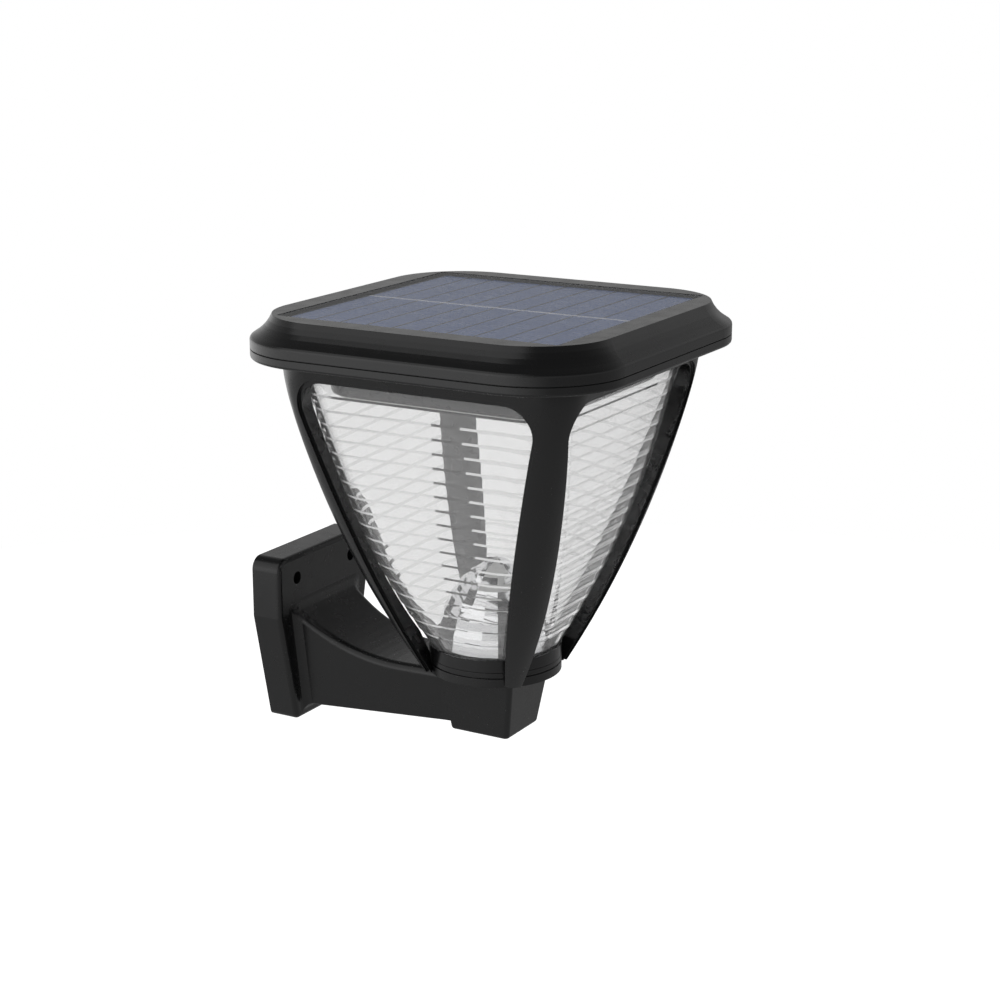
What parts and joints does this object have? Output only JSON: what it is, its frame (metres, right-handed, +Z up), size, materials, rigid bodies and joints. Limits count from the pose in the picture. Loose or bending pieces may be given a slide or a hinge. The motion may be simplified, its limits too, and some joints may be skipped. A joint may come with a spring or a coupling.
{
  "type": "fence light",
  "caption": "Square solar fence light: a clear tapered shade in a legged cage under a bevelled solar cap, twist-locked on a block at the end of a curved arm with a wall plate.",
  "frame": {"origin": "middle of the two wall screws, on the wall plane behind the plate", "axes": "+Z up, +Y into the wall, +X to the right seen from the front; the lamp stands out towards -Y"},
  "size_m": [0.15, 0.168, 0.1728],
  "materials": {
    "black_plastic": "semi-gloss moulded, black",
    "button_plastic": "soft black",
    "clear_plastic": "clear moulded, stepped outside",
    "milky_plastic": "milky diffuser",
    "white_plastic": "moulded, white",
    "silvered_plastic": "vacuum metallised",
    "gasket_rubber": "black seal",
    "silicon_cells": "blue-grey silicon",
    "tinned_metal": "tinned, dull",
    "panel_board": "dark board",
    "panel_resin": "clear cast resin",
    "screw_steel": "zinc plated",
    "contact_steel": "spring steel, plated",
    "battery_case": "sleeved cell",
    "white_board": "white circuit board",
    "green_board": "green circuit board",
    "board_black": "component black",
    "led_phosphor": "yellow phosphor",
    "wire_insulation": "insulated wire"
  },
  "bodies": {
    "bracket": {"wall_bracket": "black_plastic", "base_block": "black_plastic", "bracket_screws": "screw_steel"},
    "button": {"mode_button": "button_plastic"},
    "head": {"base_collar": "black_plastic", "collar_screws": "screw_steel", "cone_reflector": "silvered_plastic", "reflector_screw": "screw_steel", "lens_gasket": "gasket_rubber", "lens": "clear_plastic", "cage": "black_plastic", "neck_gasket": "gasket_rubber", "cage_screws": "screw_steel", "cap_lower_shell": "black_plastic", "cap_gasket": "gasket_rubber", "cap_upper_shell": "black_plastic", "cap_screws": "screw_steel", "panel_base": "panel_board", "solar_cells": "silicon_cells", "cell_ribbon": "tinned_metal", "ribbon_joints": "tinned_metal", "panel_glaze": "panel_resin", "led_housing": "black_plastic", "housing_screws": "screw_steel", "led_cover": "milky_plastic", "component_tray": "white_plastic", "tray_screws": "screw_steel", "led_board": "white_board", "leds": "led_phosphor", "led_board_screws": "screw_steel", "battery_cell": "battery_case", "battery_contacts": "contact_steel", "control_board": "green_board", "board_parts": "board_black", "control_board_screws": "screw_steel", "panel_lead": "wire_insulation", "led_lead": "wire_insulation", "switch_lead": "wire_insulation", "button_seal": "gasket_rubber", "mode_switch": "board_black", "switch_board": "green_board", "switch_board_screws": "screw_steel"}
  },
  "joints": [
    {"name": "head_twist", "type": "hinge", "parent": "bracket", "child": "head", "pos_m": [0, -0.093, -0.0285], "axis": [0, 0, 1], "range_deg": [0, 30]},
    {"name": "mode_button_push", "type": "slide", "parent": "head", "child": "button", "axis": [0, 0, 1], "range_m": [0, 0.001], "stiffness_N_per_m": 400, "springref_m": -0.0005}
  ]
}
